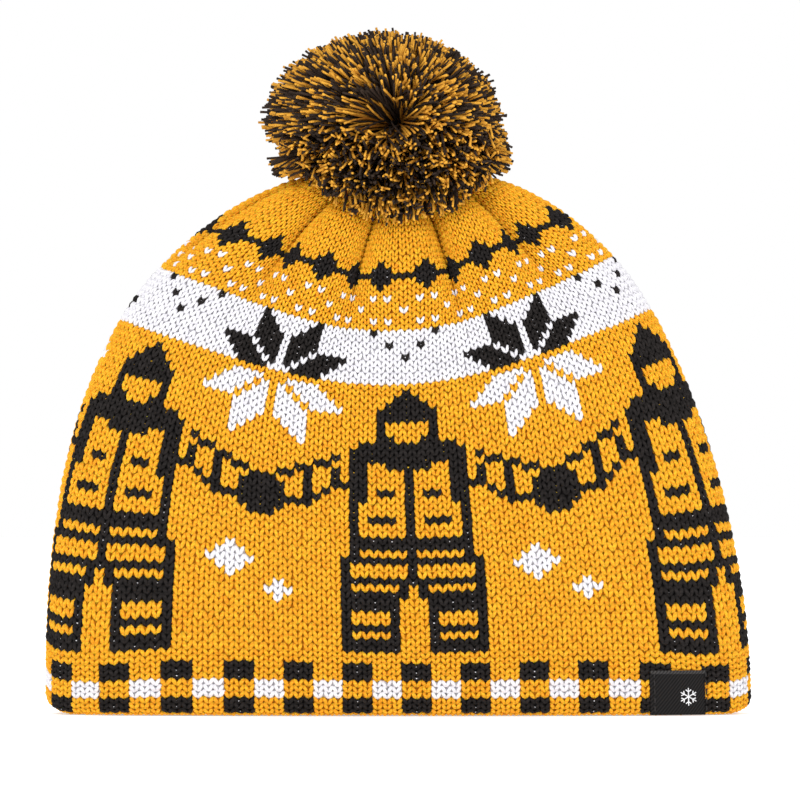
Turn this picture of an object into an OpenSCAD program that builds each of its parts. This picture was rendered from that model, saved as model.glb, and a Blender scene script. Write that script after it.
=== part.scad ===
// Pom pom beanie: a jacquard-knitted hat with a turned hem, a fleece ear band, a gathered crown and a yarn
// pom on a short tie. It stands on its hem, opening down, with its front towards -Y. Millimetres.

/* [Hat] */
// Width across the front at the hem
hat_w = 250; // [200:1:290]
// Depth from front to back at the hem
hat_d = 64; // [56:1:110]
// Height of the knit at the crown
crown_h = 194; // [165:1:230]
// Radius of the opening that the crown is gathered to
crown_hole_r = 5; // [4.5:0.1:8]
// Thickness of the knit
knit_t = 3; // [2:0.1:3.4]
// Squareness of the plan outline at the hem, 2 for an ellipse
plan_square = 2.8; // [2:0.1:3.4]

/* [Hem] */
// Height of the turned hem inside
hem_h = 26; // [18:1:34]
// Thickness of the hem where the knit is doubled
hem_t = 5.5; // [5:0.1:7]

/* [Ear band] */
// Height of the fleece band's upper edge
band_top = 60; // [45:1:75]
// Thickness of the fleece
band_t = 2.2; // [1.5:0.1:3]
// Room between the outer face of the knit and the band
band_inset = 5.8; // [5.8:0.1:8]

/* [Pom] */
// Radius of the pom
pom_r = 43.5; // [30:0.5:55]
// Height of the pom's middle above the crown
pom_rise = 15; // [14:0.5:20]
// Height of the pom above its middle
pom_top = 35; // [26:0.5:44]
// Tufts of each colour round the pom
tufts = 8; // [6:1:10]
// Radius of the tie
tie_r = 2; // [1.5:0.1:2.5]

/* [Labels] */
// Width of the woven label
label_w = 20; // [14:0.5:26]
// Height of the woven label on the front
label_h = 15; // [10:0.5:20]
// Distance of the woven label's middle from the centre front
label_x = 98; // [60:1:100]
// Width of the care label
care_w = 25; // [18:1:30]
// Length of the care label
care_l = 34; // [24:1:38]

/* [Hidden] */

yellow = "#f0ab22";
black = "#26221f";
white = "#f2f0ee";
fleece = "#2d2a28";

gap = 0.3;               // running room between neighbouring pieces
thread_d = 0.8;          // thickness of a line of sewing thread
side_rise = 2.15;        // how late the sides start to curve in
side_round = 2.4;        // how round the shoulders are, seen from the front
front_rise = 4;          // the same, seen from the side
front_round = 2;
ring_points = 56;        // points round one ring of the shell
wall_rings = 16;         // rings up the wall
hem_flat = 1;            // half the width of the flat that the hem stands on
hem_bevel = 0.8;         // the rounded fold's first step
seam_room = 2.6;         // how far the hem's sewing thread and the back seam stay above the turned hem
band_low = 5;            // the fleece band's lower edge
band_sewn_in = 3;        // from the band's edges to its lines of stitching
label_t = 0.6;
label_low = 1.1;         // the woven label's lower edge
neck_low = crown_h - knit_t - 0.6;      // the tie's neck passes through the crown between these heights
neck_high = crown_h + 4;
knot_r = 3.5;
pom_z = crown_h + pom_rise;             // the pom's middle
core_low = neck_high + 2 * gap;         // the tie inside the pom
core_high = pom_z + 5;
binding_t = 1.5;
binding_turns = 3;
pom_room = 0.4;                         // between the tufts and the binding, and under them
rim_share = 0.86;                       // the pom's underside, as a share of its radius
droop = 19;                             // how far the front and back tufts hang below the underside
droop_from = 0.7;                       // where they start to hang, and their lowest ring's two edges
droop_inner = 0.79;
droop_outer = 0.92;
droop_lip = 5;                          // how much less they hang at the outer edge
tuft_gap = 0.6;                         // between neighbouring tufts, in degrees
care_t = 1;
care_y = hat_d / 2 - band_inset - band_t - 1.6 - care_t;
care_top = band_top - 5;

// How far in the sides and the front have come at height share u, from 1 at the hem to 0 at the crown
function side_share(u) = pow(max(0, 1 - pow(u, side_rise)), 1 / side_round);
function front_share(u) = pow(max(0, 1 - pow(u, front_rise)), 1 / front_round);
function signed_pow(v, e) = sign(v) * pow(abs(v), e);

// A point on the hat's outer surface moved outwards by out, at height z and at a plan angle
function hat_point(angle, z, out) =
    let (u = min(1, z / (crown_h + out)),
         half_w = crown_hole_r + (hat_w / 2 + out - crown_hole_r) * side_share(u),
         half_d = crown_hole_r + (hat_d / 2 + out - crown_hole_r) * front_share(u),
         e = 2 / (plan_square - (plan_square - 2) * pow(u, 8)))
    [half_w * signed_pow(cos(angle), e), half_d * signed_pow(sin(angle), e), z];

// A closed band round the hat whose section has the corners [out, z], listed anticlockwise seen from +Y
module band_round(corners) {
    n = len(corners);
    m = ring_points;
    points = [for (c = corners, i = [0:m - 1]) hat_point(360 * i / m, c[1], c[0])];
    faces = [for (k = [0:n - 1], i = [0:m - 1])
        let (a = k * m, b = ((k + 1) % n) * m, j = (i + 1) % m)
        each [[a + i, b + i, b + j], [a + i, b + j, a + j]]];
    polyhedron(points, faces);
}

// A closed strip that lies along the hat's wall: columns are plan angles, rows are heights,
// and it fills the space from out_lo to out_hi
module wall_strip(angles, heights, out_lo, out_hi) {
    n = len(angles);
    m = len(heights);
    points = [for (out = [out_lo, out_hi], z = heights, a = angles) hat_point(a, z, out)];
    function at(side, row, column) = (side * m + row) * n + column;
    inner_outer = [for (row = [0:m - 2], c = [0:n - 2]) each [
        [at(0, row, c), at(0, row + 1, c), at(0, row + 1, c + 1), at(0, row, c + 1)],
        [at(1, row, c), at(1, row, c + 1), at(1, row + 1, c + 1), at(1, row + 1, c)]]];
    low_high = [for (c = [0:n - 2]) each [
        [at(0, 0, c), at(0, 0, c + 1), at(1, 0, c + 1), at(1, 0, c)],
        [at(0, m - 1, c), at(1, m - 1, c), at(1, m - 1, c + 1), at(0, m - 1, c + 1)]]];
    ends = [for (row = [0:m - 2]) each [
        [at(0, row, 0), at(1, row, 0), at(1, row + 1, 0), at(0, row + 1, 0)],
        [at(0, row, n - 1), at(0, row + 1, n - 1), at(1, row + 1, n - 1), at(1, row, n - 1)]]];
    quads = concat(inner_outer, low_high, ends);
    polyhedron(points, [for (q = quads) each [[q[0], q[1], q[2]], [q[0], q[2], q[3]]]]);
}

// A thread sewn round the hat, at height z, with its outer side at out
module thread_round(out, z) {
    band_round([[out, z], [out, z + thread_d], [out - thread_d, z + thread_d], [out - thread_d, z]]);
}

// The knitted body: outer wall up, inner wall down, and round the turned hem's fold
module knit_shell() {
    wall_low = hem_t / 2;
    climb = [for (i = [0:wall_rings]) let (s = i / wall_rings) 1 - pow(1 - s, 1.7)];
    outer = [for (s = climb) [0, wall_low + (crown_h - wall_low) * s]];
    inner_low = hem_h + 1;
    inner = [for (i = [wall_rings:-1:0]) [-knit_t, inner_low + (crown_h - knit_t - inner_low) * climb[i]]];
    fold = [[-hem_t, hem_h], [-hem_t, wall_low], [-hem_t + hem_bevel, hem_bevel],
        [-hem_t / 2 - hem_flat, 0], [-hem_t / 2 + hem_flat, 0], [-hem_bevel, hem_bevel]];
    color(yellow) band_round(concat(outer, inner, fold));
}

// The draw thread that holds the crown shut round the tie
module crown_gather_thread() {
    color(yellow) translate([0, 0, crown_h - knit_t / 2]) rotate_extrude($fn = 48)
        translate([crown_hole_r - gap - thread_d / 2, 0]) circle(d = thread_d, $fn = 24);
}

// The joined edges of the knit, up the inside of the centre back
module back_seam() {
    seam_half = 2.4;
    seam_t = 1.8;
    low = hem_h + seam_room;
    high = crown_h - 16;
    heights = [for (i = [0:14]) low + (high - low) * i / 14];
    spread = back_angle(seam_half);
    color(yellow)
        wall_strip([90 + spread, 90, 90 - spread], heights, -knit_t - gap - seam_t, -knit_t - gap);
}

// Plan angle from the middle at which a point at the hem stands x away from it
function back_angle(x) = 90 - acos(pow(x / (hat_w / 2), plan_square / 2));

// The thread that sews down the raw edge of the turned hem
module hem_thread() {
    color(yellow) thread_round(-knit_t - gap, hem_h + seam_room / 2);
}

// The soft band that lines the brim
module fleece_ear_band() {
    far = -band_inset - band_t;
    corners = [[-band_inset, band_low], [-band_inset, band_top], [far, band_top], [far, band_low]];
    color(fleece) band_round(corners);
}

// The two rows of stitching on the band's inner face
module band_lower_thread() {
    color(black) thread_round(-band_inset - band_t - gap, band_low + band_sewn_in);
}

module band_upper_thread() {
    color(black) thread_round(-band_inset - band_t - gap, band_top - band_sewn_in);
}

// Plan angle on the front at which the hem stands x to the right of the centre
function front_angle(x) = -90 + back_angle(x);

// The small woven label on the front of the hem
module woven_label() {
    left = front_angle(label_x - label_w / 2);
    right = front_angle(label_x + label_w / 2);
    angles = [for (i = [0:10]) left + (right - left) * i / 10];
    heights = [for (i = [0:4]) label_low + label_h * i / 4];
    color(black) wall_strip(angles, heights, gap, gap + label_t);
}

// The stitches down each side of the woven label
module label_stitches() {
    stitches = 5;
    stitch_l = 1.8;
    pitch = label_h / stitches;
    out = gap + label_t + 0.1;
    for (side = [-1, 1]) {
        x = label_x + side * (label_w / 2 - 1.2);
        angles = [front_angle(x - 0.3), front_angle(x + 0.3)];
        for (k = [0:stitches - 1]) {
            z = label_low + pitch * (k + 0.5) - stitch_l / 2;
            color(black) wall_strip(angles, [z, z + stitch_l], out, out + 0.4);
        }
    }
}

// The tie where it passes through the crown, between the knot and the pom
module tie_neck() {
    color(black) translate([0, 0, neck_low]) cylinder(r = tie_r, h = neck_high - neck_low, $fn = 32);
}

// The knot that the tie pulls up against, inside the crown
module tie_knot() {
    color(black) translate([0, 0, neck_low - knot_r - 0.05]) sphere(r = knot_r, $fn = 32);
}

// The tie inside the pom
module pom_core_tie() {
    color(black) translate([0, 0, core_low]) cylinder(r = tie_r, h = core_high - core_low, $fn = 32);
}

// The cord wound round the pom's middle
module pom_binding() {
    color(black) for (turn = [0:binding_turns - 1])
        translate([0, 0, pom_z + (turn - 1) * (binding_t + 0.1)])
            rotate_extrude($fn = 48)
                translate([tie_r + 0.1 + binding_t / 2, 0]) circle(d = binding_t, $fn = 24);
}

// One tuft of the pom. Those that face front and back hang lower than the crown's ridge
function tuft_profile(droops) =
    let (inside = tie_r + binding_t + pom_room,
         under = core_low + pom_room,
         dome = [for (t = [0:9:81]) [pom_r * cos(t), pom_z + pom_top * sin(t)]],
         skirt = droops
            ? [[pom_r * droop_from, under + 1],
               [pom_r * droop_inner, under - droop],
               [pom_r * droop_outer, under - droop + droop_lip]]
            : [[pom_r * rim_share, under + 2]])
    concat([[inside, under]], skirt, dome, [[inside, pom_z + pom_top]]);

module tuft(middle_angle) {
    width = 180 / tufts - tuft_gap;
    droops = abs(sin(middle_angle)) > 0.9;
    rotate(middle_angle - width / 2) rotate_extrude(angle = width, $fn = 96)
        polygon(tuft_profile(droops));
}

module tufts_from(first_angle) {
    for (k = [0:tufts - 1]) tuft(first_angle + 360 * k / tufts);
}

module pom_yellow_yarn() {
    color(yellow) tufts_from(0);
}

module pom_black_yarn() {
    color(black) tufts_from(180 / tufts);
}

// The stitches behind the care label's top edge, which it hangs from
module care_label_stitches() {
    stitches = 6;
    pitch = care_w / stitches;
    low = care_top - 1;
    for (k = [0:stitches - 1])
        color(white) translate([-care_w / 2 + pitch * (k + 0.2), care_y + care_t + 0.2, low])
            cube([pitch * 0.6, 0.6, thread_d]);
}

// The care label, inside the centre back
module care_label() {
    color(white) translate([-care_w / 2, care_y, care_top - care_l]) cube([care_w, care_t, care_l]);
}

knit_shell();
crown_gather_thread();
back_seam();
hem_thread();
fleece_ear_band();
band_lower_thread();
band_upper_thread();
woven_label();
label_stitches();
tie_neck();
tie_knot();
pom_core_tie();
pom_binding();
pom_yellow_yarn();
pom_black_yarn();
care_label_stitches();
care_label();
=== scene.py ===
import math

import bpy
import numpy as np
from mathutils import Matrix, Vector


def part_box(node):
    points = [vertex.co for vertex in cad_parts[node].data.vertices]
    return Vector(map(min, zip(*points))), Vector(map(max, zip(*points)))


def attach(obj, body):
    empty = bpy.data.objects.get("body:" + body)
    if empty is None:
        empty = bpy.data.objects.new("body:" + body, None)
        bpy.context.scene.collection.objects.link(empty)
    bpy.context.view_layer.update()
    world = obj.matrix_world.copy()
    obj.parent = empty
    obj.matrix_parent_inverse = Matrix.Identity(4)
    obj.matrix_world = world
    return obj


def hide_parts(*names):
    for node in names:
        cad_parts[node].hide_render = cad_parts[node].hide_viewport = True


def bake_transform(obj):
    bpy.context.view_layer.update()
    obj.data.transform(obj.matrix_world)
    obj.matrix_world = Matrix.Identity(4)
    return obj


# Looks of the pom pom beanie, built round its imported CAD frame. Metres, with the front towards -Y.

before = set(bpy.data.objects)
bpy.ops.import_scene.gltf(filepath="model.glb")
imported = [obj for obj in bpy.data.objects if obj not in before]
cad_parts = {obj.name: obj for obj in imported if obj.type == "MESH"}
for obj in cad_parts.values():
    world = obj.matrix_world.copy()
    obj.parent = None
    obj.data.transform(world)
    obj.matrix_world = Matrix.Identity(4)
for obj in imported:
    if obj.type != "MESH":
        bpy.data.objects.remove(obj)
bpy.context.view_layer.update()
rng = np.random.default_rng(7)

MM = 0.001
TURN = 2 * math.pi

# -------- sizes taken from the frame

HALF_W, HALF_D, CROWN_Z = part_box("knit_shell")[1]
HOLE_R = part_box("crown_gather_thread")[1].x + 0.3 * MM  # the crown opening, just round its thread
POM_R, _, POM_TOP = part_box("pom_yellow_yarn")[1]
BINDING_LOW, BINDING_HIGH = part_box("pom_binding")
POM_Z = (BINDING_LOW.z + BINDING_HIGH.z) / 2
band_low, band_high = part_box("fleece_ear_band")
BAND_LOW, BAND_TOP = band_low.z, band_high.z
BAND_OUT = band_high.y - HALF_D  # its outer face, from the knit's outer face
LABEL_LOW, LABEL_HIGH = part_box("woven_label")
CARE_LOW, CARE_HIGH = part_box("care_label")

KNIT_T = 3 * MM
BAND_T = 2.2 * MM
FOLD_R = 2.75 * MM  # half the doubled hem's thickness
FOLD_LIFT = 0.6 * MM  # room under the fold's surface for its stitches to stand on the floor
CORNER_LIFTS = (4.6 * MM, 3.0 * MM)  # how far the hem is drawn up off the floor at its left and right ends
CORNER_SPAN = 0.54  # the part of the hat's depth that is drawn up there
CORNER_HEIGHTS = (8 * MM, 70 * MM)  # it is drawn up fully to the first height, and not above the second

# The same wall curve as the CAD's: how late and how round the sides and the front come in
SIDE_RISE, SIDE_ROUND = 2.15, 2.4
FRONT_RISE, FRONT_ROUND = 4, 2
PLAN_SQUARE = 2.8  # the outline's squareness at the hem. It is round, 2, at the crown
PLAN_RISE = 8  # how late the outline turns round
SLUMP = 3.6 * MM  # how far the soft knit has slumped to the left
SLUMP_RISE = 1.6  # above 1, so that it slumps most above the middle of its height

# -------- meshes from arrays of points


def make_piece(name, points, quads, triangles=(), **values):
    """A smooth mesh object. Each extra value is kept on the points, for the materials."""
    mesh = bpy.data.meshes.new(name)
    quads = np.asarray(quads, np.int32).reshape(-1, 4)
    triangles = np.asarray(triangles, np.int32).reshape(-1, 3)
    sizes = np.repeat([4, 3], [len(quads), len(triangles)])
    starts = np.concatenate([[0], np.cumsum(sizes)[:-1]])
    mesh.vertices.add(len(points))
    mesh.vertices.foreach_set("co", np.asarray(points, np.float32).ravel())
    mesh.loops.add(int(sizes.sum()))
    mesh.loops.foreach_set("vertex_index", np.concatenate([quads.ravel(), triangles.ravel()]))
    mesh.polygons.add(len(sizes))
    mesh.polygons.foreach_set("loop_start", starts.astype(np.int32))
    mesh.update(calc_edges=True)
    mesh.polygons.foreach_set("use_smooth", np.ones(len(sizes), bool))
    for key, value in values.items():
        attribute = mesh.attributes.new(key, "FLOAT", "POINT")
        attribute.data.foreach_set("value", np.asarray(value, np.float32).ravel())
    piece = bpy.data.objects.new(name, mesh)
    bpy.context.scene.collection.objects.link(piece)
    return piece


def grid_faces(rows, columns, rows_closed=False, columns_closed=False):
    """Quads between the points of a grid, which come row by row."""
    row = np.arange(rows if rows_closed else rows - 1)[:, None]
    column = np.arange(columns if columns_closed else columns - 1)[None]
    above, beside = (row + 1) % rows, (column + 1) % columns
    low = (row * columns + column, row * columns + beside)
    high = (above * columns + beside, above * columns + column)
    return np.stack(np.broadcast_arrays(*low, *high), -1).reshape(-1, 4)


def tube_faces(count, rings, sides):
    """Faces of closed tubes whose points come ring by ring, and then the two end points."""
    body = grid_faces(rings, sides, columns_closed=True)
    around = np.arange(sides)
    after = (around + 1) % sides
    low = np.stack([after, around, np.full(sides, rings * sides)], -1)
    high = np.stack([around, after, np.full(sides, sides + 1)], -1) + (rings - 1) * sides
    step = np.arange(count)[:, None, None] * (rings * sides + 2)
    quads = body[None] + step
    triangles = np.concatenate([low, high])[None] + step
    return quads.reshape(-1, 4), triangles.reshape(-1, 3)


def unit(vectors):
    """The same directions, each one long."""
    return vectors / np.maximum(np.linalg.norm(vectors, axis=-1, keepdims=True), 1e-12)


def xyz(x, y, z):
    """Points from their coordinates, which are numbers, or arrays that fit together."""
    return np.stack(np.broadcast_arrays(x, y, z), -1)


def running_length(points):
    """Distance along rows of points from the first of them."""
    steps = np.linalg.norm(np.diff(points, axis=-2), axis=-1)
    return np.concatenate([np.zeros(steps.shape[:-1] + (1,)), np.cumsum(steps, -1)], -1)


def tubes(name, lines, radius, sides=6, blunt=0.2, pitch=1.6 * MM):
    """Closed tubes along lines of points, an array of tubes by points by 3.
    blunt is how far the ends bulge out, in radii, and pitch is the length of one turn of the yarn's ply."""
    lines = np.asarray(lines, float)
    count, rings = lines.shape[:2]
    radius = np.broadcast_to(radius, (count, rings))
    along = unit(np.gradient(lines, axis=1))
    up = np.where(np.abs(along[:, :1, 2:]) < 0.8, [0.0, 0.0, 1.0], [0.0, 1.0, 0.0])
    side = unit(np.cross(along, up))
    up = np.cross(side, along)
    turn = TURN * np.arange(sides) / sides
    spread = np.cos(turn)[:, None] * side[:, :, None] + np.sin(turn)[:, None] * up[:, :, None]
    body = lines[:, :, None] + spread * radius[..., None, None]
    first = lines[:, 0] - along[:, 0] * radius[:, :1] * blunt
    last = lines[:, -1] + along[:, -1] * radius[:, -1:] * blunt
    points = np.concatenate([body.reshape(count, -1, 3), first[:, None], last[:, None]], 1)
    walk = running_length(lines) / pitch
    ply = walk[:, :, None] - np.arange(sides) / sides
    ply = np.concatenate([ply.reshape(count, -1), walk[:, [0, -1]]], 1)
    share = np.linspace(0, 1, rings)[None, :, None] + np.zeros((count, 1, sides))
    share = np.concatenate([share.reshape(count, -1), np.tile([0.0, 1.0], (count, 1))], 1)
    tone = np.repeat(rng.random(count), rings * sides + 2)
    faces = tube_faces(count, rings, sides)
    return make_piece(name, points.reshape(-1, 3), *faces, ply=ply, tone=tone, share=share)


def plied(line, radius, plies, pitch):
    """Lines of the plies of a yarn of that radius, twisted round one line."""
    line = np.asarray(line, float)
    along = unit(np.gradient(line, axis=0))
    up = np.where(np.abs(along[:, 2:]) < 0.9, [0.0, 0.0, 1.0], [0.0, 1.0, 0.0])
    side = unit(np.cross(along, up))
    up = np.cross(side, along)
    turn = TURN * (running_length(line)[:, None] / pitch + np.arange(plies) / plies)
    offset = np.cos(turn)[..., None] * side[:, None] + np.sin(turn)[..., None] * up[:, None]
    return (line[:, None] + offset * radius / 2).transpose(1, 0, 2)


# -------- materials


def linear(red, green, blue):
    """A colour given in sRGB from 0 to 255, as Blender's shaders want it."""
    shares = (v / 255 for v in (red, green, blue))
    return (*(v / 12.92 if v < 0.04045 else ((v + 0.055) / 1.055) ** 2.4 for v in shares), 1.0)


class Nodes:
    """A new material and short ways to add its nodes."""

    def __init__(self, name):
        self.material = bpy.data.materials.new(name)
        self.material.use_nodes = True
        self.tree = self.material.node_tree
        self.shader = self.tree.nodes["Principled BSDF"]

    def add(self, kind, settings=None, **inputs):
        """A node with its settings. Its inputs are named by their label, or i and their number."""
        node = self.tree.nodes.new(kind)
        for key, value in (settings or {}).items():
            setattr(node, key, value)
        for key, value in inputs.items():
            numbered = key[0] == "i" and key[1:].isdigit()
            self.put(node, int(key[1:]) if numbered else key.replace("_", " "), value)
        return node

    def put(self, node, socket, value):
        if isinstance(value, bpy.types.NodeSocket):
            self.tree.links.new(value, node.inputs[socket])
        else:
            node.inputs[socket].default_value = value

    def surface(self, **values):
        """Sets the shader's own sockets, by their names."""
        for key, value in values.items():
            self.put(self.shader, key.replace("_", " "), value)

    def value(self, name):
        return self.add("ShaderNodeAttribute", {"attribute_name": name}).outputs["Fac"]

    def math(self, operation, a, b=0.0):
        return self.add("ShaderNodeMath", {"operation": operation}, i0=a, i1=b).outputs[0]

    def place(self, stretch=(1, 1, 1)):
        here = self.add("ShaderNodeTexCoord").outputs["Object"]
        return self.add("ShaderNodeMapping", None, Vector=here, Scale=stretch).outputs[0]

    def noise(self, scale, detail):
        node = self.add("ShaderNodeTexNoise", None, Vector=self.place(), Scale=scale, Detail=detail)
        return node.outputs["Fac"]

    def wave(self, direction, scale, distortion=0.0, stretch=(1, 1, 1)):
        settings = {"bands_direction": direction}
        sizes = {"Scale": scale, "Distortion": distortion}
        return self.add("ShaderNodeTexWave", settings, Vector=self.place(stretch), **sizes).outputs["Fac"]

    def total(self, *parts):
        """The sum of some values, each given with its weight."""
        first, *others = (self.math("MULTIPLY", value, weight) for value, weight in parts)
        for part in others:
            first = self.math("ADD", first, part)
        return first

    def mix(self, share, a, b):
        return self.add("ShaderNodeMix", {"data_type": "RGBA"}, i0=share, i6=a, i7=b).outputs[2]

    def spread(self, value, low, high, to_low=0.0, to_high=1.0):
        limits = {"From_Min": low, "From_Max": high, "To_Min": to_low, "To_Max": to_high}
        return self.add("ShaderNodeMapRange", None, Value=value, **limits).outputs[0]

    def bump(self, height, strength, distance, normal=None):
        node = self.add("ShaderNodeBump", None, Height=height, Strength=strength, Distance=distance)
        if normal:
            self.put(node, "Normal", normal)
        return node.outputs[0]


def yarn_material(name, light, dark, sheen=0.2, gloss=0.2, twist_shade=0.35, root_shade=0.0, glow=0.0):
    """Plied yarn: two tones that change from stitch to stitch, the plies' twist with painted shade in its
    grooves, and loose fibres.
    root_shade darkens each strand towards its start as painted shade deep among the strands, and glow is how
    much light passes through the wool."""
    n = Nodes(name)
    ply = n.spread(n.math("SINE", n.math("MULTIPLY", n.value("ply"), TURN)), -1, 1)
    fibres = n.noise(5200, 4)
    parts = [(n.value("tone"), 0.4), (n.noise(260, 2), 0.55)]
    # the twist's term is painted shade: colour darkened in the grooves between the plies
    parts += [(n.math("SUBTRACT", fibres, 0.5), 0.9), (n.math("SUBTRACT", 1.0, ply), twist_shade)]
    # painted shade: strands darker towards their roots, deep inside the pom
    if root_shade:
        parts.append((n.spread(n.value("share"), 0.3, 1.0, 1.0, 0.0), root_shade))
    n.surface(
        Base_Color=n.mix(n.spread(n.total(*parts), 0.15, 1.15), light, dark),
        Roughness=n.spread(fibres, 0.3, 0.7, 0.75, 0.95),
        Specular_IOR_Level=gloss,
        Sheen_Weight=sheen,
        Sheen_Roughness=0.5,
        Sheen_Tint=light,
        Subsurface_Weight=glow,
        Subsurface_Radius=(1.0, 0.45, 0.1),
        Subsurface_Scale=1.5 * MM,
        Normal=n.bump(fibres, 0.5, 0.1 * MM, n.bump(ply, 0.5, 0.12 * MM)),
    )
    return n.material


def cover(piece, material):
    """Gives a piece one material in place of what it has."""
    piece.data.materials.clear()
    piece.data.materials.append(material)
    return piece


def finish_piece(piece, material, body, slot, *nodes):
    """Material, the body it moves with, the slot, which is not used, and the CAD nodes it stands for."""
    cover(piece, material)
    if body:
        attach(piece, body)
    if nodes:
        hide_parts(*nodes)
    return piece


# -------- camera, light and floor

LENS, SENSOR = 400, 36  # focal length and sensor width in millimetres
VIEW_WIDTH = 284.5 * MM  # what the camera sees across, at the hat's middle
VIEW_X, VIEW_Z = 0.6 * MM, 111.5 * MM  # the middle of the picture
AIM = Vector((0, 0, 0.1))  # where the lights point
FLOOR_REACH = 4.0
FLOOR_GLOW = 0.45


def make_camera():
    """Level and square to the front, with the long lens of a product photograph."""
    data = bpy.data.cameras.new("camera")
    data.lens = LENS
    data.sensor_width = SENSOR
    data.clip_start = 0.05
    data.clip_end = 50
    camera = bpy.data.objects.new("camera", data)
    camera.location = (VIEW_X, -VIEW_WIDTH * LENS / SENSOR, VIEW_Z)
    camera.rotation_euler = (TURN / 4, 0, 0)
    bpy.context.scene.collection.objects.link(camera)
    bpy.context.scene.camera = camera


def make_light(name, place, size, power):
    """A round soft light, in metres and watts, pointed at the hat."""
    data = bpy.data.lights.new(name, "AREA")
    data.shape = "DISK"
    data.size = size
    data.energy = power
    light = bpy.data.objects.new(name, data)
    light.location = place
    light.rotation_mode = "QUATERNION"
    light.rotation_quaternion = (AIM - light.location).to_track_quat("-Z", "Y")
    bpy.context.scene.collection.objects.link(light)


def make_floor():
    """A wide sheet of paper that glows a little, as one lit from below does."""
    n = Nodes("floor_paper")
    grain = n.noise(300, 3)
    n.surface(
        Base_Color=n.mix(grain, (0.93, 0.93, 0.93, 1), (0.97, 0.97, 0.97, 1)),
        Roughness=0.9,
        Emission_Color=(1, 1, 1, 1),
        Emission_Strength=FLOOR_GLOW,
    )
    corners = [(x * FLOOR_REACH, y * FLOOR_REACH, 0) for x, y in ((-1, -1), (1, -1), (1, 1), (-1, 1))]
    cover(make_piece("floor", corners, [(0, 1, 2, 3)]), n.material)


def make_world():
    """Even white light from all round."""
    world = bpy.data.worlds.new("studio")
    bpy.context.scene.world = world
    world.use_nodes = True
    background = world.node_tree.nodes["Background"]
    background.inputs["Color"].default_value = (1, 1, 1, 1)
    background.inputs["Strength"].default_value = 1.0


make_camera()
make_world()
make_light("key", (-0.5, -1.3, 1.0), 0.6, 12)
make_light("fill", (0.9, -1.1, 0.4), 0.9, 3.5)
make_floor()
bpy.context.scene.view_settings.view_transform = "Standard"

# -------- the hat's wall


def signed_power(value, exponent):
    """A power that keeps the sign of its base."""
    return np.sign(value) * np.abs(value) ** exponent


def half_sizes(z, out):
    """Half width, half depth and squareness of the hat's outline at height z, moved outwards by out."""
    u = np.clip(z / (CROWN_Z + out), 0, 1)
    half_w = HOLE_R + (HALF_W + out - HOLE_R) * (1 - u**SIDE_RISE) ** (1 / SIDE_ROUND)
    half_d = HOLE_R + (HALF_D + out - HOLE_R) * (1 - u**FRONT_RISE) ** (1 / FRONT_ROUND)
    return half_w, half_d, PLAN_SQUARE - (PLAN_SQUARE - 2) * u**PLAN_RISE


def slump(z):
    """How far the knit leans at a height: not at all at the hem and at the crown."""
    return -SLUMP * np.sin(TURN / 2 * np.clip(z / CROWN_Z, 0, 1) ** SLUMP_RISE)


def wall_point(angle, z, out=0.0):
    """A point of the hat's outer surface, moved outwards by out."""
    half_w, half_d, square = half_sizes(z, out)
    x = half_w * signed_power(np.cos(angle), 2 / square) + slump(z)
    y = half_d * signed_power(np.sin(angle), 2 / square)
    return xyz(x, y, z)


def crown_height(x, y):
    """Height of the hat's upper half over points of its plan, and 0 beside it."""
    heights = np.linspace(CROWN_Z / 2, CROWN_Z, 200)
    half_w, half_d, square = half_sizes(heights, 0.0)
    across = np.abs((x[..., None] - slump(heights)) / half_w) ** square
    inside = across + np.abs(y[..., None] / half_d) ** square < 1
    return np.where(inside, heights, 0).max(-1)


# -------- the knitted surface

COLUMNS = 160  # stitches round the hat
ROWS = 92  # rows from the hem's fold to the gathered crown
ROWS_INSIDE = 13  # rows of the hem's turned part
ROW_INSIDE = 2.3 * MM  # height of one of those rows
REPEAT = 32  # columns of one repeat of the pattern
PLEAT = 16  # columns from one crown pleat to the next

# Rows that bound the bands, and how far up the fabric each of them lies at the front and at the sides
ROW_MARKS = (0, 10, 12, 50, 52, 61, 71, 92)
FRONT_CLIMB = (0, 0.100, 0.119, 0.563, 0.582, 0.677, 0.777, 1)
SIDE_CLIMB = (0, 0.078, 0.095, 0.555, 0.577, 0.668, 0.758, 1)
SIDE_FROM, SIDE_BLEND = 0.85, 3.4  # from which share of the half width it is a side, and how late it is
ROW_TILT = 3.9 * MM  # how much higher the upper rows run at the right side than at the middle
TILT_ROWS = (24, 52, 74)  # where the tilt comes in, where it is full, and from where it fades

# How the columns are shifted, in columns, and the rows or columns where each shift comes in and is full
TURNED = 1.9  # the whole knit is turned to the right
TURNED_MORE, MORE_ROWS = 0.3, (30, 60)
CROWN_GATHER, GATHER_ROWS = 0.13, (46, 76)  # a share of the distance from the middle of each face
HEM_PULL, PULL_CHANGE, CHANGE_ROWS = 1.25, 1.9, (10, 62)  # round the sides at the hem, and back above it
PULL_COLUMNS, PULL_FADES = (16, 36), (50, 76)  # counted from the centre front

PLEAT_DEPTH = 9.5 * MM
PLEAT_ROWS = (55, 76)
PLEAT_FADES, PLEAT_LEFT = 82, 0.06  # from which row they flatten, and what is left at the top
PLEAT_BUNCH = 1.2  # columns that each lobe draws together
CREASE_SHARP = 0.6  # below 1, for a crease that is sharper than the lobes beside it

# Lobes are unequal by two waves round the crown: their sizes, their turns from lobe to lobe, and a start
SLOW_SIZE, SLOW_TURNS, SLOW_START = 0.20, 0.3, 0.1
QUICK_SIZE, QUICK_TURNS = 0.1, 0.7

# Columns are even along the hem. Column 0 is the centre front, and the seam is at the centre back.
hem_angles = np.linspace(-0.75 * TURN, 0.25 * TURN, 4001)
hem_lengths = running_length(wall_point(hem_angles, np.full(4001, FOLD_R)))
HEM_LENGTH = hem_lengths[-1]


def column_angle(column):
    """Where a column stands round the hat's outline."""
    share = (column / COLUMNS + 0.5) % 1
    return np.interp(share * HEM_LENGTH, hem_lengths, hem_angles)


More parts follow.
